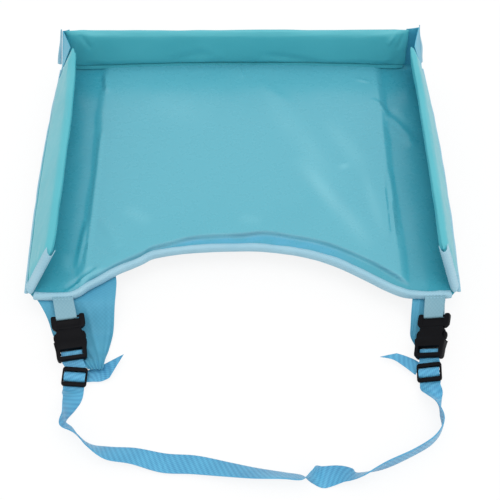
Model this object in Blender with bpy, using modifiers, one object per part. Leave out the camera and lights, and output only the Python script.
"""A travel tray table for a child's car seat, as an assembly of separate pieces.

The tray has a stiffened floor with a waist cut-out, three padded walls that fold, two side pockets
that are tucked under it, and a webbing strap that joins its front corners through two side-release
buckles and two sliders. Lengths are in metres, +Z is up and +Y points to the back wall. The origin
is on the surface that the tray lies on, in the middle of the whole outline.
"""

import math

import bmesh
import bpy
from mathutils import Matrix, Vector

# Clearances and cloth
GAP = 0.0003
CLOTH = 0.0008
OVERRUN = 0.004
TAPE_STEP = GAP + CLOTH / 2

# Floor outline: the front corners are at y zero before the whole part is centred
HALF_WIDTH = 0.200
DEPTH = 0.320
BACK_BOW = 0.006
CUT_SIDE_LAND = 0.050
CUT_HALF_CHORD = HALF_WIDTH - CUT_SIDE_LAND
CUT_DEPTH = 0.0555
CUT_END_DEPTH = 0.005
NOSE_RUN = 0.012
CORNER_RADIUS = 0.006

# Floor layers, from the underside up
REST_HEIGHT = 0.020
BOARD = 0.0025
FOAM = 0.003
CREASE_SET_IN = 0.0015
CREASE_START = CUT_HALF_CHORD - CREASE_SET_IN
INSERT_HALF_WIDTH = CREASE_START - CREASE_SET_IN
CREASE_RUN = 0.0055
BOARD_INSET = 0.004
FOAM_INSET = 0.0015
EDGE_TURN = 0.007
EDGE_RISE = 0.0033
EDGE_HOLD = 0.001

# Front tape
TAPE_END_SHORT = 0.012
TAPE_HALF_SPAN = HALF_WIDTH - TAPE_END_SHORT
TAPE_LIP = 0.005
TAPE_ROUND = 0.0006

# Base seams
SEAM_WIDTH = 0.0044
SEAM_THICK = 0.0018
SEAM_CLEAR = 0.006

# Walls
WALL_HEIGHT = 0.050
WALL_HALF = 0.0045
WALL_END_HALF = 0.0017
WALL_END_RUN = 0.018
WALL_SLIT = 0.0013
WALL_FOAM_HALF = 0.0026
WALL_FOAM_END = 0.021
WALL_FOAM_EDGE = 0.006
WALL_ROUND = 3.5
HINGE_RISE = 0.006
SIDE_FOOT = 0.0054
SIDE_HINGE_INSET = 0.003
SIDE_FRONT = 0.0005
SIDE_TOP_SETBACK = 0.0125
SIDE_BACK_SHORT = 0.020
SIDE_BACK = DEPTH - SIDE_BACK_SHORT
SIDE_BACK_SETBACK = 0.010
LEAN = {"left": math.radians(26), "right": math.radians(19)}
BACK_FOOT = 0.00505
BACK_HINGE_IN = 0.004
BACK_HINGE_Y = DEPTH - BACK_HINGE_IN
BACK_END_SHORT = 0.016
BACK_HALF_LENGTH = HALF_WIDTH - BACK_END_SHORT
BACK_TOP_SPREAD = 0.007
END_TAPE_WIDTH = 0.008

# Rear corners
GUSSET_BASE = 0.0262
CORNER_OUT = 0.0022
CORNER_BACK = 0.0010
FIN_TIP_HEIGHT = 0.088
FIN_WIDTH = 0.006
FIN_THICK = 0.0016
FIN_DIRECTION_SHARES = (0.6, 0.8)

# Pockets
POCKET_WIDTH = 0.076
POCKET_FRONT = 0.045
POCKET_BACK_SHORT = 0.034
POCKET_BACK = DEPTH - POCKET_BACK_SHORT
POCKET_CLOTH = 0.0012
POCKET_PINCH = 0.030
POCKET_PINCH_GAP = 0.005
POCKET_ROUND = 0.006
POCKET_MOUTH = 0.008
ELASTIC_WIDTH = 0.006
ELASTIC_THICK = 0.001
POCKET_HINGE_DROP = GAP

# The slack front ends of the pockets: distances in from the side and back from the front corners
END_CLOTH = 0.0012
END_SETTLE = 0.030
END_OUTER_IN = {
    "left": (0.0100, 0.0040, 0.0020, 0.0170, 0.0250, 0.0400, 0.0660),
    "right": (0.0100, 0.0070, 0.0080, 0.0120, 0.0200, 0.0280, 0.0340),
}
END_INNER_IN = {
    "left": (0.0690, 0.0775, 0.0785, 0.0780, 0.0760, 0.0730, 0.0700),
    "right": (0.0385, 0.0385, 0.0390, 0.0420, 0.0430, 0.0437, 0.0400),
}
END_Y = {
    "left": (0.050, 0.028, 0.010, -0.015, -0.033, -0.049, -0.065),
    "right": (0.050, 0.028, 0.012, -0.010, -0.022, -0.034, -0.046),
}

# Buckles: each place is (in from the side, back from the front corners, up), and the other distances
# run along the buckle from its loop bar
TAB_IN = {"left": 0.0320, "right": 0.0204}
TAB_HEIGHT = 0.0245
TAB_START = -0.0017
TAB_WIDTH = 0.0190
TAB_SHIFT = {"left": 0.0011, "right": 0.0006}
BAR_PLACE = {"left": (0.0378, -0.0208, 0.0197), "right": (0.0227, -0.0222, 0.0210)}
WEBBING = 0.0012
WEBBING_WIDTH = 0.019
BUCKLE_YAW = {"left": math.radians(10.3), "right": math.radians(-13)}
BUCKLE_SLOPE = {"left": math.radians(12.5), "right": math.radians(9)}
BUCKLE_ROLL = {"left": math.radians(-2), "right": math.radians(30)}
BAR_RADIUS = 0.0010
PLUG_THICK = 0.0043
PLUG_EDGE = 0.0006
EAR_INNER = 0.0110
EAR_OUTER = 0.0154
EAR_TOP = -0.0018
PLUG_BASE_START = 0.0029
PLUG_BASE_END = 0.0122
PLUG_CHAMFER = 0.0030
PRONG_HALF = 0.0026
PRONG_END = 0.0297
ARM_INNER = 0.0082
ARM_OUTER = 0.0104
ARM_PAD = 0.0149
ARM_END = 0.0257
ARM_THICK = 0.0040
SOCKET_START = PLUG_BASE_END + GAP
SOCKET_END = 0.0427
SOCKET_THICK = 0.0078
SOCKET_EDGE = 0.0009
NECK_HALF = 0.0115
SHOULDER_HALF = 0.0152
SHOULDER_START = 0.0190
FOOT_HALF = 0.0136
CAVITY_HALF = 0.0107
CAVITY_HEIGHT = 0.0052
CAVITY_END = 0.0308
WINDOW_START = 0.0142
WINDOW_END = 0.0263
SLOT_HALF = 0.0101
SLOT_START = 0.0321
SLOT_END = 0.0390
UNDER_RAIL = -0.0004
INNER_BAR_Y = 0.0351
INNER_BAR_Z = -0.0014
INNER_BAR_RADIUS = 0.0012

# Sliders: places as for the buckles, and distances along each slider from its centre bar
SLIDER_PLACE = {"left": (0.0482, -0.0771, 0.0072), "right": (0.0329, -0.0772, 0.0125)}
SLIDER_YAW = {"left": math.radians(-3), "right": math.radians(-3)}
SLIDER_ROLL = {"left": math.radians(-5), "right": math.radians(22)}
SLIDER_LENGTH = 0.018
SLIDER_WIDTH = 0.0225
SLIDER_THICK = 0.0028
SLIDER_RAIL = 0.0038
SLIDER_SIDE = 0.00125
SLIDER_BAR_RADIUS = 0.0011
SLIDER_EDGE = 0.0004
SLIDER_CORNER = 0.0022
SLIDER_DROP = 0.0023
SLIDER_BUMP = 0.0020
STRAP_RUN_OUT = 0.004

# Strap: its route over the floor, as shares of the way across from slider to slider, distances from
# the front corners, and the webbing's turn about its run in degrees
STRAP_ACROSS_SHARES = (
    -0.0022, -0.0069, -0.0097, 0.0160, 0.0665, 0.1170, 0.1794, 0.2622, 0.3434, 0.4309, 0.5055,
    0.5792, 0.6250, 0.6557, 0.6892, 0.7300, 0.7582, 0.7865, 0.8517, 0.9298, 0.9906, 1.0169, 1.0160,
    1.0097,
)
STRAP_OUT = (
    -0.0960, -0.1070, -0.1198, -0.1332, -0.1460, -0.1519, -0.1545, -0.1590, -0.1614, -0.1645,
    -0.1693, -0.1738, -0.1762, -0.1765, -0.1740, -0.1722, -0.1725, -0.1730, -0.1671, -0.1550,
    -0.1410, -0.1270, -0.1120, -0.1000,
)
STRAP_TURNS = (
    -26, -50, -76, -58, -40, -15, -4, 6, 12, 0, -20, -35, -56, -110, -165, -192, -215, -236, -244,
    -248, -257, -274, -296, -325,
)
STRAP_LIFT = 0.0004
STRAP_STEPS_EACH = 3
TAIL_ROUTE = {
    "left": [(0.0063, 0.0026), (0.0173, 0.0051), (0.0268, 0.0081), (0.0368, 0.0126)],
    "right": [(-0.0081, 0.0072), (-0.0156, 0.0142), (-0.0241, 0.0197), (-0.0341, 0.0222)],
}
TAIL_HEIGHT = {"left": (0.0021, 0.0022, 0.0030, 0.0052), "right": (0.0055, 0.0052, 0.0055, 0.0064)}
TAIL_WIDTH_SHARES = {"left": (0.6, 0.7, 0.9, 1), "right": (0.7, 0.6, 0.5, 0.6)}
TAIL_SLANT = {"left": 0.0090, "right": 0.0060}

# Colours of the pieces
FILM = (0.13, 0.47, 0.60, 1)
CLOTH_BLUE = (0.05, 0.38, 0.50, 1)
TAPE_BLUE = (0.33, 0.58, 0.70, 1)
STRAP_BLUE = (0.13, 0.48, 0.70, 1)
POCKET_BLUE = (0.09, 0.35, 0.54, 1)
BLACK = (0.014, 0.014, 0.017, 1)
FOAM_GREY = (0.6, 0.6, 0.58, 1)
BOARD_GREY = (0.25, 0.26, 0.28, 1)

# Levels and places that follow from the sizes above
MARGIN_DROP = BOARD + GAP
BOARD_LOW = REST_HEIGHT + CLOTH + GAP
FOAM_LOW = BOARD_LOW + BOARD + GAP
FILM_LOW = FOAM_LOW + FOAM + GAP
FILM_TOP = FILM_LOW + CLOTH
MARGIN_TOP = FILM_TOP - MARGIN_DROP
SIDE_HINGE_Z = MARGIN_TOP + HINGE_RISE
SIDE_HINGE_X = HALF_WIDTH - SIDE_HINGE_INSET
BACK_HINGE_Z = FILM_TOP + HINGE_RISE
POCKET_TOP = REST_HEIGHT - POCKET_HINGE_DROP
SIGN = {"left": -1, "right": 1}
CUT_SAG = CUT_DEPTH - CUT_END_DEPTH
CUT_RADIUS = (CUT_HALF_CHORD**2 + CUT_SAG**2) / (2 * CUT_SAG)
END_SHARES = (0, 0.012, 0.035, 0.07, 0.12, 0.19, 0.28, 0.39, 0.5)


def clear_scene():
    """Removes every object, so that the file holds this part alone."""
    for item in list(bpy.data.objects):
        bpy.data.objects.remove(item, do_unlink=True)


def collection(name):
    """A collection linked to the scene."""
    made = bpy.data.collections.new(name)
    bpy.context.scene.collection.children.link(made)
    return made


def paint(item, colour, roughness=0.6):
    """A Principled material of the item's own."""
    material = bpy.data.materials.new(item.name)
    material.use_nodes = True
    shader = material.node_tree.nodes["Principled BSDF"]
    shader.inputs["Base Color"].default_value = colour
    shader.inputs["Roughness"].default_value = roughness
    item.data.materials.clear()
    item.data.materials.append(material)


def add(name, data, colour, parent=None, roughness=0.6):
    """A part of the assembly, under its joint's empty if it moves."""
    item = bpy.data.objects.new(name, data)
    PARTS.objects.link(item)
    item.parent = parent
    paint(item, colour, roughness)
    return item


def empty(name, matrix, parent=None):
    """An empty that stands on a joint's axis."""
    item = bpy.data.objects.new(name, None)
    PARTS.objects.link(item)
    item.parent = parent
    item.matrix_local = matrix
    return item


def grid(columns, rows, place):
    """A grid of columns by rows faces, each corner put where place(column share, row share) says."""
    shape = bmesh.new()
    bmesh.ops.create_grid(shape, x_segments=columns, y_segments=rows, size=1)
    wide = max(v.co.x for v in shape.verts)
    tall = max(v.co.y for v in shape.verts)
    for v in shape.verts:
        across = round((v.co.x / wide + 1) / 2 * columns) / columns
        along = round((v.co.y / tall + 1) / 2 * rows) / rows
        v.co = place(across, along)
    return shape


def finish(shape, name, colour, parent=None, roughness=0.6):
    """The mesh of a bmesh, as a part with outward faces and smooth shading."""
    bmesh.ops.recalc_face_normals(shape, faces=shape.faces)
    mesh = bpy.data.meshes.new(name)
    shape.to_mesh(mesh)
    shape.free()
    mesh.shade_smooth()
    mesh.set_sharp_from_angle(angle=math.radians(35))
    return add(name, mesh, colour, parent, roughness)


def cloth(name, columns, rows, place, thickness, colour, parent=None):
    """A sheet with its middle on a placed grid, given its thickness by Solidify."""
    item = finish(grid(columns, rows, place), name, colour, parent)
    thicken = item.modifiers.new("thickness", "SOLIDIFY")
    thicken.thickness = thickness
    thicken.offset = 0
    thicken.use_even_offset = True
    thicken.use_quality_normals = True
    return item


def slab(name, columns, rows, place, thickness, colour):
    """A layer of the floor: a placed grid, extruded straight up."""
    shape = grid(columns, rows, place)
    raised = bmesh.ops.extrude_face_region(shape, geom=list(shape.faces))
    moved = [g for g in raised["geom"] if isinstance(g, bmesh.types.BMVert)]
    bmesh.ops.translate(shape, verts=moved, vec=(0, 0, thickness))
    return finish(shape, name, colour)


def plate_mesh(name, half_outline, thickness, edge):
    """A flat moulding, mirrored from half its outline, extruded from a 2D curve and bevelled."""
    whole = half_outline + [(-x, y) for x, y in reversed(half_outline)]
    curve = bpy.data.curves.new(name, "CURVE")
    curve.dimensions = "2D"
    curve.fill_mode = "BOTH"
    curve.extrude = thickness / 2
    line = curve.splines.new("POLY")
    line.points.add(len(whole) - 1)
    for point, (x, y) in zip(line.points, whole):
        point.co = (x, y, 0, 1)
    line.use_cyclic_u = True
    drawn = bpy.data.objects.new(name, curve)
    bpy.context.scene.collection.objects.link(drawn)
    mesh = bpy.data.meshes.new_from_object(drawn.evaluated_get(bpy.context.evaluated_depsgraph_get()))
    bpy.data.objects.remove(drawn, do_unlink=True)
    shape = bmesh.new()
    shape.from_mesh(mesh)
    bmesh.ops.remove_doubles(shape, verts=shape.verts, dist=GAP / 10)
    bmesh.ops.dissolve_limit(shape, angle_limit=math.radians(1), verts=shape.verts, edges=shape.edges)
    if edge:
        rims = [e for e in shape.edges if abs(e.verts[0].co.z - e.verts[1].co.z) < GAP / 10]
        bmesh.ops.bevel(shape, geom=rims, offset=edge, segments=2, profile=0.5, affect="EDGES")
    bmesh.ops.recalc_face_normals(shape, faces=shape.faces)
    shape.to_mesh(mesh)
    shape.free()
    mesh.shade_smooth()
    mesh.set_sharp_from_angle(angle=math.radians(35))
    return mesh


def tool(name, mesh, parent):
    """A hidden object that cuts or joins."""
    item = bpy.data.objects.new(name, mesh)
    CUTTERS.objects.link(item)
    item.parent = parent
    item.hide_render = True
    item.display_type = "WIRE"
    return item


def block(low, high):
    """A box between two corners."""
    low, high = Vector(low), Vector(high)
    shape = bmesh.new()
    bmesh.ops.create_cube(shape, size=1)
    bmesh.ops.scale(shape, verts=shape.verts, vec=high - low)
    bmesh.ops.translate(shape, verts=shape.verts, vec=(low + high) / 2)
    mesh = bpy.data.meshes.new("block")
    shape.to_mesh(mesh)
    shape.free()
    return mesh


def rod(radius, half_length, y, z):
    """A round bar across a buckle or slider."""
    shape = bmesh.new()
    bmesh.ops.create_cone(
        shape, cap_ends=True, segments=16, radius1=radius, radius2=radius, depth=2 * half_length
    )
    turn = Matrix.Translation((0, y, z)) @ Matrix.Rotation(math.pi / 2, 4, "Y")
    bmesh.ops.transform(shape, matrix=turn, verts=shape.verts)
    mesh = bpy.data.meshes.new("rod")
    shape.to_mesh(mesh)
    shape.free()
    return mesh


def combine(item, operation, mesh, parent):
    """Cuts a mesh out of a part, or joins it on."""
    change = item.modifiers.new(operation.lower(), "BOOLEAN")
    change.operation = operation
    change.object = tool(f"{item.name}_{operation.lower()}_{len(item.modifiers)}", mesh, parent)


def front_edge(x):
    """How far back the floor's front edge is at x: noses at the corners, and an arc at the waist."""
    x = abs(x)
    if x < CUT_HALF_CHORD:
        return CUT_DEPTH - CUT_RADIUS + math.sqrt(CUT_RADIUS**2 - x**2)
    if x < CUT_HALF_CHORD + NOSE_RUN:
        return CUT_END_DEPTH * (1 - (x - CUT_HALF_CHORD) / NOSE_RUN) ** 2
    turn = max(0.0, x - HALF_WIDTH + CORNER_RADIUS)
    return CORNER_RADIUS - math.sqrt(max(0.0, CORNER_RADIUS**2 - turn**2))


def back_edge(x):
    """How far back the floor's back edge is at x."""
    return DEPTH + BACK_BOW * (1 - (x / HALF_WIDTH) ** 2)


def crease_drop(x):
    """How far the layers over the board drop at x, outside the board."""
    share = (abs(x) - CREASE_START) / CREASE_RUN
    return MARGIN_DROP * min(1.0, max(0.0, share))


def stations(half_width):
    """Places across the floor: even steps along the waist's arc, then the creases, noses and corners."""
    steps = 9
    inner = [CUT_HALF_CHORD * k / steps for k in range(steps)]
    inner += [CREASE_START, CREASE_START + CREASE_RUN, CUT_HALF_CHORD + NOSE_RUN]
    middle = (CUT_HALF_CHORD + NOSE_RUN + HALF_WIDTH - CORNER_RADIUS) / 2
    turned = [HALF_WIDTH - CORNER_RADIUS * share for share in (1, 0.5, 0.15)]
    inner += [middle, HALF_WIDTH - EDGE_TURN, *turned]
    inner = [x for x in inner if x < half_width - GAP]
    right = sorted(set(inner)) + [half_width]
    return [-x for x in reversed(right[1:])] + right


def floor_layer(name, half_width, front_inset, back_inset, height, thickness, colour, extra_row=0.0):
    """A layer of the floor between its insets from the outline, at a height that depends on the place."""
    places = stations(half_width)
    rows = 6

    def place(across, along):
        x = places[round(across * (len(places) - 1))]
        front = front_edge(x) + front_inset
        back = back_edge(x) - back_inset
        y = front + (back - extra_row - front) * min(1.0, along * rows / (rows - 1))
        if along > 1 - 1 / (2 * rows):
            y = back
        return Vector((x, y, height(x, y)))

    return slab(name, len(places) - 1, rows, place, thickness, colour)


def make_floor():
    """The floor's four layers."""
    floor_layer(
        "floor_film",
        HALF_WIDTH,
        0,
        0,
        lambda x, y: FILM_LOW - crease_drop(x),
        CLOTH,
        FILM,
        EDGE_TURN,
    )
    floor_layer(
        "floor_foam",
        HALF_WIDTH - EDGE_TURN - EDGE_HOLD,
        FOAM_INSET,
        EDGE_TURN + EDGE_HOLD,
        lambda x, y: FOAM_LOW - crease_drop(x),
        FOAM,
        FOAM_GREY,
        EDGE_TURN,
    )
    floor_layer(
        "floor_board",
        INSERT_HALF_WIDTH,
        BOARD_INSET,
        EDGE_TURN + EDGE_HOLD,
        lambda x, y: BOARD_LOW,
        BOARD,
        BOARD_GREY,
        EDGE_TURN,
    )

    def turned_up(x, y):
        side = (abs(x) - HALF_WIDTH + EDGE_TURN) / EDGE_TURN
        back = (y - back_edge(x) + EDGE_TURN) / EDGE_TURN
        return REST_HEIGHT + EDGE_RISE * min(1.0, max(0.0, side, back))

    floor_layer("bottom_cover", HALF_WIDTH, 0, 0, turned_up, CLOTH, CLOTH_BLUE, EDGE_TURN)


def make_front_tape():
    """The tape that wraps the front edge, its noses and the waist cut-out."""
    places = [x for x in stations(HALF_WIDTH) if abs(x) < TAPE_HALF_SPAN - GAP]
    places = [-TAPE_HALF_SPAN, *places, TAPE_HALF_SPAN]
    low = REST_HEIGHT - TAPE_STEP
    step = GAP

    def place(across, along):
        x = places[round(across * (len(places) - 1))]
        slope = (front_edge(x + step) - front_edge(x - step)) / (2 * step)
        outward = Vector((slope, -1)).normalized()
        high = FILM_TOP - crease_drop(x) + TAPE_STEP
        section = [
            (-TAPE_LIP, high),
            (TAPE_STEP - TAPE_ROUND, high),
            (TAPE_STEP, high - TAPE_ROUND),
            (TAPE_STEP, low + TAPE_ROUND),
            (TAPE_STEP - TAPE_ROUND, low),
            (-TAPE_LIP, low),
        ]
        out, z = section[round(along * (len(section) - 1))]
        return Vector((x + outward.x * out, front_edge(x) + outward.y * out, z))

    cloth("front_edge_tape", len(places) - 1, 5, place, CLOTH, TAPE_BLUE)


def make_base_seams():
    """The taped seams that stand out along both sides and the back."""
    height = MARGIN_TOP - CLOTH - SEAM_THICK / 2
    middle = GAP + SEAM_WIDTH / 2
    back_shares = (-0.97, 0.97)

    for side, sign in SIGN.items():

        def beside(across, along, sign=sign):
            x = HALF_WIDTH + middle + (across - 0.5) * SEAM_WIDTH
            y = SEAM_CLEAR + (DEPTH - 2 * SEAM_CLEAR) * along
            return Vector((sign * x, y, height))

        cloth(f"{side}_base_seam_tape", 1, 6, beside, SEAM_THICK, TAPE_BLUE)

    def behind(across, along):
        x = HALF_WIDTH * (back_shares[0] + (back_shares[1] - back_shares[0]) * across)
        return Vector((x, back_edge(x) + middle + (along - 0.5) * SEAM_WIDTH, height))

    cloth("back_base_seam_tape", 10, 1, behind, SEAM_THICK, TAPE_BLUE)


def end_distance(share, length):
    """How far a place along a wall is from its nearer end."""
    return min(share, 1 - share) * length


def wall_half(distance):
    """Half the padded thickness of a wall at a distance from its end."""
    rise = math.sin(math.pi / 2 * min(1.0, distance / WALL_END_RUN))
    return WALL_END_HALF + (WALL_HALF - WALL_END_HALF) * rise


def wall_section(half, foot, turn):
    """A wall's outline across, as (out from its middle, up from its hinge), for a turn from -1 to 1."""
    angle = math.pi * turn
    power = 2 / WALL_ROUND
    bulge = abs(math.sin(angle)) ** power
    slit = WALL_SLIT * ((1 - math.cos(angle)) / 2) ** 2 * (1 - bulge)
    out = math.copysign(half * bulge + slit, turn)
    half_height = WALL_HEIGHT / 2 - CLOTH / 2
    up = math.copysign(abs(math.cos(angle)) ** power, math.cos(angle)) * half_height
    return (0.0 if turn == 0 else out), up + WALL_HEIGHT / 2 - foot


def end_share(across):
    """Places along a wall, close together at its two ends."""
    steps = len(END_SHARES) - 1
    index = round(across * 2 * steps)
    return END_SHARES[index] if index <= steps else 1 - END_SHARES[2 * steps - index]


def make_wall(name, foot, parent, run, centre):
    """A wall's padded cover, open along its foot, and the foam sheet in it.

    run(up share) gives the wall's two ends at a height, and centre(along, up) its middle plane's place.
    """
    columns = 2 * (len(END_SHARES) - 1)
    rows = 20

    def cover(across, along):
        out, up = wall_section(1.0, foot, 2 * along - 1)
        share = (up + foot) / WALL_HEIGHT
        start, stop = run(share)
        place = start + (stop - start) * end_share(across)
        half = wall_half(end_distance(end_share(across), stop - start)) - CLOTH / 2
        out, up = wall_section(half, foot, 2 * along - 1)
        return centre(place, up, out)

    cloth(f"{name}_cover", columns, rows, cover, CLOTH, CLOTH_BLUE, parent)

    def foam(across, along):
        up = -foot + WALL_FOAM_EDGE + (WALL_HEIGHT - 2 * WALL_FOAM_EDGE) * along
        start, stop = run((up + foot) / WALL_HEIGHT)
        start, stop = start + WALL_FOAM_END, stop - WALL_FOAM_END
        return centre(start + (stop - start) * across, up, 0)

    cloth(f"{name}_foam", 10, 2, foam, 2 * WALL_FOAM_HALF, FOAM_GREY, parent)


def side_run(share):
    """Where a side wall starts and stops at a share of its height."""
    return SIDE_FRONT + SIDE_TOP_SETBACK * share, SIDE_BACK - SIDE_BACK_SETBACK * share


def make_side_walls():
    """The two side walls on their folds, each with the tape round its front end."""
    for side, sign in SIGN.items():
        place = Matrix.Translation((sign * SIDE_HINGE_X, 0, SIDE_HINGE_Z))
        hinge = empty(f"{side}_wall_hinge", place @ Matrix.Rotation(-sign * LEAN[side], 4, "Y"))

        def centre(along, up, out, sign=sign):
            return Vector((sign * out, along, up))

        make_wall(f"{side}_wall", SIDE_FOOT, hinge, side_run, centre)

        def tape(across, along, sign=sign):
            up = -SIDE_FOOT + WALL_FOAM_EDGE / 2 + (WALL_HEIGHT - WALL_FOAM_EDGE / 2) * along
            start, stop = side_run((up + SIDE_FOOT) / WALL_HEIGHT)
            offsets = (-1, -0.45, -0.1, 0, 0.1, 0.45, 1)
            reach = offsets[round(across * (len(offsets) - 1))]
            back = abs(reach) * END_TAPE_WIDTH
            half = wall_half(back) + TAPE_STEP
            out = math.copysign(half, reach) if reach else 0.0
            front = TAPE_STEP if abs(reach) < offsets[-2] else -back
            return Vector((sign * out, start - front, up))

        cloth(f"{side}_wall_end_tape", 6, 6, tape, CLOTH, TAPE_BLUE, hinge)


def make_back_wall():
    """The back wall on its fold. Its foot bows back in the middle, and its ends lean back."""
    hinge = empty("back_wall_hinge", Matrix.Translation((0, BACK_HINGE_Y, BACK_HINGE_Z)))

    def run(share):
        return -BACK_HALF_LENGTH, BACK_HALF_LENGTH

    def centre(along, up, out):
        bow = BACK_BOW * (0.5 - (along / BACK_HALF_LENGTH) ** 2)
        spread = BACK_TOP_SPREAD * up / WALL_HEIGHT * (along / BACK_HALF_LENGTH) ** 2
        return Vector((along, bow + spread + out, up))

    make_wall("back_wall", BACK_FOOT, hinge, run, centre)


def side_wall_end(side, share):
    """Just behind the outer cloth of a side wall's back end, at a share of the wall's height."""
    up = share * WALL_HEIGHT - SIDE_FOOT
    out = WALL_END_HALF - CLOTH / 2
    x = SIDE_HINGE_X - up * math.sin(LEAN[side]) + out * math.cos(LEAN[side])
    z = SIDE_HINGE_Z + up * math.cos(LEAN[side]) + out * math.sin(LEAN[side])
    return Vector((SIGN[side] * x, side_run(share)[1] + TAPE_STEP, z))


def back_wall_end(side, share):
    """Just beyond the outer cloth of the back wall's end, at a share of the wall's height."""
    up = share * WALL_HEIGHT - BACK_FOOT
    out = WALL_END_HALF - CLOTH / 2
    y = BACK_HINGE_Y - BACK_BOW / 2 + BACK_TOP_SPREAD * up / WALL_HEIGHT + out
    return Vector((SIGN[side] * (BACK_HALF_LENGTH + TAPE_STEP), y, BACK_HINGE_Z + up))


def corner_seam(side, share):
    """The seam where a rear gusset's two halves meet."""
    x = SIGN[side] * (HALF_WIDTH + CORNER_OUT - (HALF_WIDTH - SIDE_HINGE_X) * share)
    height = GUSSET_BASE + (FIN_TIP_HEIGHT - GUSSET_BASE) * share
    return Vector((x, DEPTH - CORNER_BACK, height))


def make_rear_corners():
    """The cloth gusset between each side wall and the back wall, and the taped fin on its seam."""
    for side, sign in SIGN.items():
        low_share = 0.04
        high_share = 0.93

        def gusset(across, along, side=side):
            share = low_share + (high_share - low_share) * along
            start = side_wall_end(side, share)
            seam = corner_seam(side, share)
            stop = back_wall_end(side, share)
            if across <= 0.5:
                return start.lerp(seam, 2 * across)
            return seam.lerp(stop, 2 * across - 1)

        cloth(f"{side}_rear_gusset", 8, 5, gusset, CLOTH, CLOTH_BLUE)

        outward = Vector((sign * FIN_DIRECTION_SHARES[0], FIN_DIRECTION_SHARES[1], 0))

        def fin(across, along, side=side, outward=outward):
            seam = corner_seam(side, along)
            width = FIN_WIDTH * (1 - along / 2)
            return seam + outward * (CLOTH + GAP + width * across)

        cloth(f"{side}_rear_corner_tape", 2, 6, fin, FIN_THICK, TAPE_BLUE)


def make_pockets():
    """Each side pocket, folded under the tray: a soft bag, its elastic mouth and its slack front end."""
    for side, sign in SIGN.items():
        hinge = empty(
            f"{side}_pocket_hinge", Matrix.Translation((sign * HALF_WIDTH, 0, POCKET_TOP))
        )
        high = -POCKET_CLOTH / 2
        low = -POCKET_TOP + POCKET_CLOTH / 2

        def bag(across, along, sign=sign):
            y = POCKET_FRONT + (POCKET_BACK - POCKET_FRONT) * end_share(along)
            from_end = min(y - POCKET_FRONT, POCKET_BACK - y)
            lift = (1 - math.sin(math.pi / 2 * min(1.0, from_end / POCKET_PINCH))) ** 2
            bottom = low + (high - low - POCKET_PINCH_GAP) * lift
            round_x = POCKET_WIDTH - POCKET_ROUND
            corner = min(POCKET_ROUND, (high - bottom) / 2)
            section = [
                (2 * GAP, high),
                (POCKET_WIDTH / 2, high),
                (round_x, high),
                (POCKET_WIDTH - corner / 3, high - corner / 3),
                (POCKET_WIDTH, high - corner),
                (POCKET_WIDTH, bottom + corner),
                (POCKET_WIDTH - corner / 3, bottom + corner / 3),
                (round_x, bottom),
                (POCKET_WIDTH / 2, bottom),
                (POCKET_MOUTH, bottom),
            ]
            inward, z = section[round(across * (len(section) - 1))]
            return Vector((-sign * inward, y, z))

        cloth(f"{side}_pocket", 9, 2 * (len(END_SHARES) - 1), bag, POCKET_CLOTH, POCKET_BLUE, hinge)

        def elastic(across, along, sign=sign):
            inward = POCKET_MOUTH + GAP + ELASTIC_WIDTH * across
            y = POCKET_FRONT + POCKET_PINCH + (POCKET_BACK - POCKET_FRONT - 2 * POCKET_PINCH) * along
            z = low + POCKET_CLOTH / 2 + GAP + ELASTIC_THICK / 2
            return Vector((-sign * inward, y, z))

        cloth(f"{side}_pocket_elastic", 1, 4, elastic, ELASTIC_THICK, STRAP_BLUE, hinge)

        def slack(across, along, side=side, sign=sign):
            steps = len(END_Y[side]) - 1
            rows = along * steps
            index = min(int(rows), steps - 1)
            part = rows - index
            y = END_Y[side][index] * (1 - part) + END_Y[side][index + 1] * part
            outer = END_OUTER_IN[side][index] * (1 - part) + END_OUTER_IN[side][index + 1] * part
            inner = END_INNER_IN[side][index] * (1 - part) + END_INNER_IN[side][index + 1] * part
            climb = min(1.0, max(0.0, (y + END_SETTLE) / END_SETTLE))
            inward = outer + (inner - outer) * across
            floor_z = END_CLOTH / 2 + GAP
            top_z = POCKET_TOP - POCKET_CLOTH - GAP - END_CLOTH / 2
            z = floor_z + (top_z - floor_z) * climb * climb * (3 - 2 * climb)
            return Vector((-sign * inward, y, z - POCKET_TOP))

        cloth(f"{side}_pocket_end", 4, 8, slack, END_CLOTH, POCKET_BLUE, hinge)


def from_side(side, place):
    """A point given as (in from the side, back from the front corners, up)."""
    inward, back, up = place
    return Vector((SIGN[side] * (HALF_WIDTH - inward), back, up))


def turned(place, yaw, slope, roll):
    """A frame at a place: +Y runs to the strap and down by the slope, and +X lies across, rolled."""
    turn = Matrix.Rotation(math.pi + yaw, 4, "Z") @ Matrix.Rotation(-slope, 4, "X")
    return Matrix.Translation(place) @ turn @ Matrix.Rotation(roll, 4, "Y")


def buckle_frame(side):
    """The frame of a buckle, at its loop bar."""
    bar = from_side(side, BAR_PLACE[side])
    return turned(bar, BUCKLE_YAW[side], BUCKLE_SLOPE[side], BUCKLE_ROLL[side])


def slider_frame(side):
    """The frame of a slider, at its centre bar."""
    bar = from_side(side, SLIDER_PLACE[side])
    return turned(bar, SLIDER_YAW[side], BUCKLE_SLOPE[side], SLIDER_ROLL[side])


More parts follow.
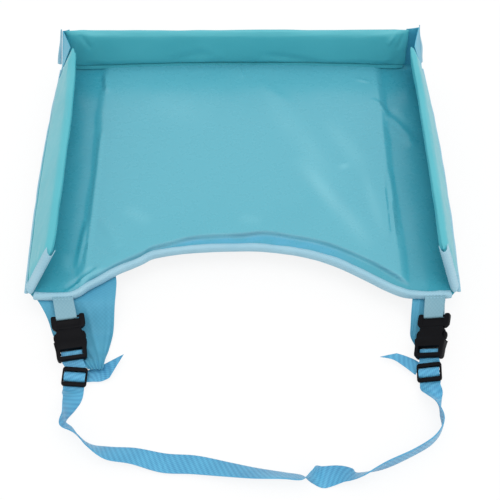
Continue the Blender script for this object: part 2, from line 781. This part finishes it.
def make_tab(side, frame):
    """The webbing tab: from the front edge, round the plug's bar and back, one layer on the other."""
    wrap = BAR_RADIUS + GAP + WEBBING / 2
    seam = from_side(side, (TAB_IN[side], TAB_START, TAB_HEIGHT))
    turns = 8
    straight = 4

    def place(across, along):
        count = 2 * straight + turns
        step = round(along * count)
        wide = (0.5 - across) * TAB_WIDTH
        shifted = wide + TAB_SHIFT[side]
        if straight <= step <= straight + turns:
            angle = math.pi * (step - straight) / turns
            local = Vector((shifted, wrap * math.sin(angle), wrap * math.cos(angle)))
            return frame @ local
        upper = step < straight
        share = step / straight if upper else (count - step) / straight
        above = 1 if upper else -1
        at_bar = frame @ Vector((shifted, 0, above * wrap))
        at_seam = seam + Vector((-wide, 0, above * (WEBBING + GAP) / 2))
        return at_seam.lerp(at_bar, share)

    cloth(f"{side}_tab", 2, 2 * straight + turns, place, WEBBING, TAPE_BLUE)


def plug_outline():
    """Half the plug's outline: prong, base and one ear."""
    chamfer = BAR_RADIUS
    return [
        (PRONG_HALF - PLUG_EDGE, PRONG_END),
        (PRONG_HALF, PRONG_END - 2 * PLUG_EDGE),
        (PRONG_HALF, PLUG_BASE_END),
        (EAR_OUTER - PLUG_CHAMFER, PLUG_BASE_END),
        (EAR_OUTER, PLUG_BASE_END - PLUG_CHAMFER - PLUG_EDGE),
        (EAR_OUTER, EAR_TOP + chamfer),
        (EAR_OUTER - chamfer, EAR_TOP),
        (EAR_INNER + chamfer, EAR_TOP),
        (EAR_INNER, EAR_TOP + chamfer),
        (EAR_INNER, PLUG_BASE_START),
    ]


def arm_outline(sign):
    """A latch arm's outline: a slim root, the pad that stands out at the side, and a rounded tip."""
    pad_shares = [(0.40, 0.24), (0.84, 0.38), (1.0, 0.55), (0.93, 0.78), (0.53, 0.91)]
    length = ARM_END - SOCKET_START
    outer = [
        (ARM_OUTER + (ARM_PAD - ARM_OUTER) * out, SOCKET_START + length * along)
        for out, along in pad_shares
    ]
    root = SOCKET_START + length * 0.14
    points = [(ARM_INNER, SOCKET_START), (ARM_OUTER, SOCKET_START), (ARM_OUTER, root), *outer]
    points += [(ARM_OUTER, ARM_END), (ARM_INNER + PLUG_EDGE, ARM_END - PLUG_EDGE)]
    return [(sign * x, y) for x, y in points]


def arm_mesh(name, sign, root):
    """A latch arm, extruded from its outline, with its origin at its root."""
    shape = bmesh.new()
    points = arm_outline(sign)
    corners = [shape.verts.new((x - root.x, y - root.y, -ARM_THICK / 2)) for x, y in points]
    face = shape.faces.new(corners)
    raised = bmesh.ops.extrude_face_region(shape, geom=[face])
    moved = [g for g in raised["geom"] if isinstance(g, bmesh.types.BMVert)]
    bmesh.ops.translate(shape, verts=moved, vec=(0, 0, ARM_THICK))
    bmesh.ops.recalc_face_normals(shape, faces=shape.faces)
    mesh = bpy.data.meshes.new(name)
    shape.to_mesh(mesh)
    shape.free()
    return mesh


def make_plug(side, bar):
    """The plug, with its loop bar, and its two sprung latch arms."""
    mesh = plate_mesh(f"{side}_plug", plug_outline(), PLUG_THICK, PLUG_EDGE)
    plug = add(f"{side}_plug", mesh, BLACK, bar, 0.45)
    combine(plug, "UNION", rod(BAR_RADIUS, EAR_INNER + BAR_RADIUS, 0, 0), bar)
    for name, sign in (("inner", SIGN[side]), ("outer", -SIGN[side])):
        root = Vector((sign * (ARM_INNER + ARM_OUTER) / 2, SOCKET_START, 0))
        pivot = empty(f"{side}_{name}_arm_root", Matrix.Translation(root), bar)
        title = f"{side}_{name}_latch_arm"
        add(title, arm_mesh(title, sign, root), BLACK, pivot, 0.45)


def socket_outline():
    """Half the socket's outline: the neck at its mouth, the shoulder and the tapered body."""
    return [
        (NECK_HALF - SOCKET_EDGE, SOCKET_START),
        (NECK_HALF, SOCKET_START + SOCKET_EDGE),
        (NECK_HALF - SOCKET_EDGE, (SOCKET_START + SHOULDER_START) / 2),
        (NECK_HALF, SHOULDER_START - SOCKET_EDGE),
        (SHOULDER_HALF - SOCKET_EDGE, SHOULDER_START),
        (SHOULDER_HALF, SHOULDER_START + 2 * SOCKET_EDGE),
        (FOOT_HALF, SOCKET_END - 2 * SOCKET_EDGE),
        (FOOT_HALF - 2 * SOCKET_EDGE, SOCKET_END),
    ]


def make_socket(side, mouth):
    """The socket's shell: its cavity, side windows, webbing slot and inner bar."""
    mesh = plate_mesh(f"{side}_socket", socket_outline(), SOCKET_THICK, SOCKET_EDGE)
    socket = add(f"{side}_socket", mesh, BLACK, mouth, 0.45)
    tall = SOCKET_THICK / 2 + OVERRUN
    half = CAVITY_HEIGHT / 2
    wide = SHOULDER_HALF + OVERRUN
    cuts = [
        ((-CAVITY_HALF, SOCKET_START - OVERRUN, -half), (CAVITY_HALF, CAVITY_END, half)),
        ((-wide, WINDOW_START, -half), (wide, WINDOW_END, half)),
        ((-SLOT_HALF, SLOT_START, -tall), (SLOT_HALF, SLOT_END, tall)),
        ((-SLOT_HALF, SLOT_END - GAP, -tall), (SLOT_HALF, SOCKET_END + OVERRUN, UNDER_RAIL)),
    ]
    for low, high in cuts:
        combine(socket, "DIFFERENCE", block(low, high), mouth)
    bar = rod(INNER_BAR_RADIUS, SLOT_HALF + SOCKET_EDGE, INNER_BAR_Y, INNER_BAR_Z)
    combine(socket, "UNION", bar, mouth)


def make_strap_loop(side, mouth, frame, slider):
    """The webbing that goes round the socket's inner bar, as two layers up to the slider."""
    upper = UNDER_RAIL - GAP - WEBBING / 2
    lower = upper - WEBBING - GAP
    wrap = INNER_BAR_RADIUS + GAP + WEBBING / 2
    turns = 8
    section = [(SOCKET_END + GAP, upper), (SLOT_END - GAP, upper)]
    for step in range(turns + 1):
        angle = math.pi * step / turns
        section.append(
            (INNER_BAR_Y - wrap * math.sin(angle), INNER_BAR_Z + wrap * math.cos(angle))
        )
    section += [(SLOT_END - GAP, lower), (SOCKET_END + GAP, lower)]
    to_socket = frame.inverted() @ slider
    last = -SLIDER_LENGTH / 2 - GAP
    free = 4
    count = len(section) - 1 + 2 * free

    def place(across, along):
        index = round(along * count) - free
        wide = (across - 0.5) * WEBBING_WIDTH
        y, z = section[min(max(index, 0), len(section) - 1)]
        held = Vector((wide, y, z))
        beyond = max(-index, index - len(section) + 1)
        if beyond <= 0:
            return held
        drop = SLIDER_DROP if index < 0 else SLIDER_DROP + WEBBING + GAP
        return held.lerp(to_socket @ Vector((wide, last, -drop)), beyond / free)

    cloth(f"{side}_strap_loop", 4, count, place, WEBBING, STRAP_BLUE, mouth)


def ring_mesh(name):
    """The slider's frame: a rounded oblong, before its window is cut and its bar joined on."""
    half = SLIDER_WIDTH / 2
    end = SLIDER_LENGTH / 2
    corner = SLIDER_CORNER
    outline = [
        (half - corner, -end),
        (half - corner / 3, -end + corner / 3),
        (half, -end + corner),
        (half, end - corner),
        (half - corner / 3, end - corner / 3),
        (half - corner, end),
    ]
    return plate_mesh(name, outline, SLIDER_THICK, SLIDER_EDGE)


def make_slider(side, mouth, frame, slider):
    """The slider, a frame with a round bar across its window, and the empty that it slides by."""
    track = empty(f"{side}_slider_track", frame.inverted() @ slider, mouth)
    item = add(f"{side}_slider", ring_mesh(f"{side}_slider"), BLACK, track, 0.45)
    half = SLIDER_WIDTH / 2 - SLIDER_SIDE
    reach = SLIDER_LENGTH / 2 - SLIDER_RAIL
    tall = SLIDER_THICK / 2 + OVERRUN
    combine(item, "DIFFERENCE", block((-half, -reach, -tall), (half, reach, tall)), track)
    combine(item, "UNION", rod(SLIDER_BAR_RADIUS, half + SLIDER_SIDE / 2, 0, 0), track)
    return track


def smooth(points, share):
    """A place on the smooth curve through a list of vectors."""
    spans = len(points) - 1
    at = min(max(share, 0.0), 1.0) * spans
    index = min(int(at), spans - 1)
    t = at - index
    a = points[max(index - 1, 0)]
    b, c = points[index], points[index + 1]
    d = points[min(index + 2, spans)]
    return 0.5 * (
        2 * b + (c - a) * t + (2 * a - 5 * b + 4 * c - d) * t**2 + (3 * b - a - 3 * c + d) * t**3
    )


def slider_passage():
    """The webbing's way through a slider, along and above its middle plane."""
    end = SLIDER_LENGTH / 2
    rail = end - SLIDER_RAIL
    half = [
        (-end + GAP, -SLIDER_DROP),
        (-rail + GAP, -SLIDER_DROP),
        (-rail / 2, -SLIDER_DROP / 6),
        (-SLIDER_BAR_RADIUS * 0.8, SLIDER_BUMP * 0.93),
        (0.0, SLIDER_BUMP),
    ]
    return half + [(-y, z) for y, z in reversed(half[:-1])]


def strap_points(sliders):
    """The long strap's centre points and its width directions, slider to slider."""
    centres, widths = [], []
    passage = slider_passage()
    out = (SLIDER_LENGTH / 2 + STRAP_RUN_OUT, -SLIDER_DROP)
    for y, z in [*passage, out]:
        centres.append(sliders["left"] @ Vector((0, y, z)))
        widths.append(sliders["left"].to_3x3() @ Vector((-1, 0, 0)))
    start, stop = (from_side(side, SLIDER_PLACE[side]).x for side in SIGN)
    floor = [
        Vector((start + (stop - start) * share, back, 0))
        for share, back in zip(STRAP_ACROSS_SHARES, STRAP_OUT)
    ]
    for index, degrees in enumerate(STRAP_TURNS):
        turn = math.radians(degrees)
        run = floor[min(index + 1, len(floor) - 1)] - floor[max(index - 1, 0)]
        level = Vector((-run.y, run.x, 0)).normalized()
        direction = level * math.cos(turn) + Vector((0, 0, 1)) * math.sin(turn)
        high = WEBBING_WIDTH / 2 * abs(math.sin(turn)) + WEBBING / 2 * abs(math.cos(turn))
        centres.append(floor[index] + Vector((0, 0, high + STRAP_LIFT)))
        widths.append(direction)
    for y, z in [out, *passage[::-1]]:
        centres.append(sliders["right"] @ Vector((0, y, z)))
        widths.append(sliders["right"].to_3x3() @ Vector((1, 0, 0)))
    return centres, widths


def make_main_strap(sliders):
    """The long strap, through both sliders and over the floor between them, with its twists."""
    centres, widths = strap_points(sliders)
    steps = STRAP_STEPS_EACH * (len(centres) - 1)

    def place(across, along):
        share = round(across * steps) / steps
        centre = smooth(centres, share)
        wide = smooth(widths, share).normalized()
        level = math.sqrt(1 - min(1.0, wide.z**2))
        reach = abs(wide.z) * WEBBING_WIDTH / 2 + level * WEBBING / 2
        centre.z = max(centre.z, reach + STRAP_LIFT)
        return centre + wide * (along - 0.5) * WEBBING_WIDTH

    cloth("main_strap", steps, 2, place, WEBBING, STRAP_BLUE)


def make_tail(side, slider, track):
    """The loose end of the webbing, which comes out from under the slider towards the middle."""
    inverse = slider.inverted()
    bar = from_side(side, SLIDER_PLACE[side])
    centres = [
        Vector((bar.x + across, bar.y + back, up))
        for (across, back), up in zip(TAIL_ROUTE[side], TAIL_HEIGHT[side])
    ]
    run = (centres[-1] - centres[0]).normalized()
    level = Vector((-run.y, run.x, 0)).normalized()
    shares = [Vector((value, 0, 0)) for value in TAIL_WIDTH_SHARES[side]]

    def place(across, along):
        centre = smooth(centres, across)
        width = WEBBING_WIDTH * smooth(shares, across).x
        slant = run * TAIL_SLANT[side] * 2 * (along - 0.5) * across
        return inverse @ (centre + level * (along - 0.5) * width + slant)

    cloth(f"{side}_strap_tail", 8, 2, place, WEBBING, STRAP_BLUE, track)


def centre_part():
    """Moves the whole part so that its origin is in the middle of its outline, on the surface."""
    bpy.context.view_layer.update()
    graph = bpy.context.evaluated_depsgraph_get()
    low, high = Vector((1, 1, 1)), Vector((-1, -1, -1))
    for item in PARTS.objects:
        if item.type == "MESH":
            made = item.evaluated_get(graph)
            for vertex in made.to_mesh().vertices:
                point = made.matrix_world @ vertex.co
                low = Vector(map(min, low, point))
                high = Vector(map(max, high, point))
            made.to_mesh_clear()
    move = Vector((-(low.x + high.x) / 2, -(low.y + high.y) / 2, -low.z))
    for item in [*PARTS.objects, *CUTTERS.objects]:
        if item.parent is None:
            item.matrix_basis = Matrix.Translation(move) @ item.matrix_basis
    bpy.context.view_layer.update()


clear_scene()
PARTS = collection("car_seat_tray_table")
CUTTERS = collection("cutters")
make_floor()
make_front_tape()
make_base_seams()
make_side_walls()
make_back_wall()
make_rear_corners()
make_pockets()
SLIDERS = {name: slider_frame(name) for name in SIGN}
for name in SIGN:
    matrix = buckle_frame(name)
    make_tab(name, matrix)
    loop_bar = empty(f"{name}_loop_bar", matrix)
    make_plug(name, loop_bar)
    socket_track = empty(f"{name}_socket_track", Matrix.Identity(4), loop_bar)
    make_socket(name, socket_track)
    make_strap_loop(name, socket_track, matrix, SLIDERS[name])
    make_tail(name, SLIDERS[name], make_slider(name, socket_track, matrix, SLIDERS[name]))
make_main_strap(SLIDERS)
centre_part()
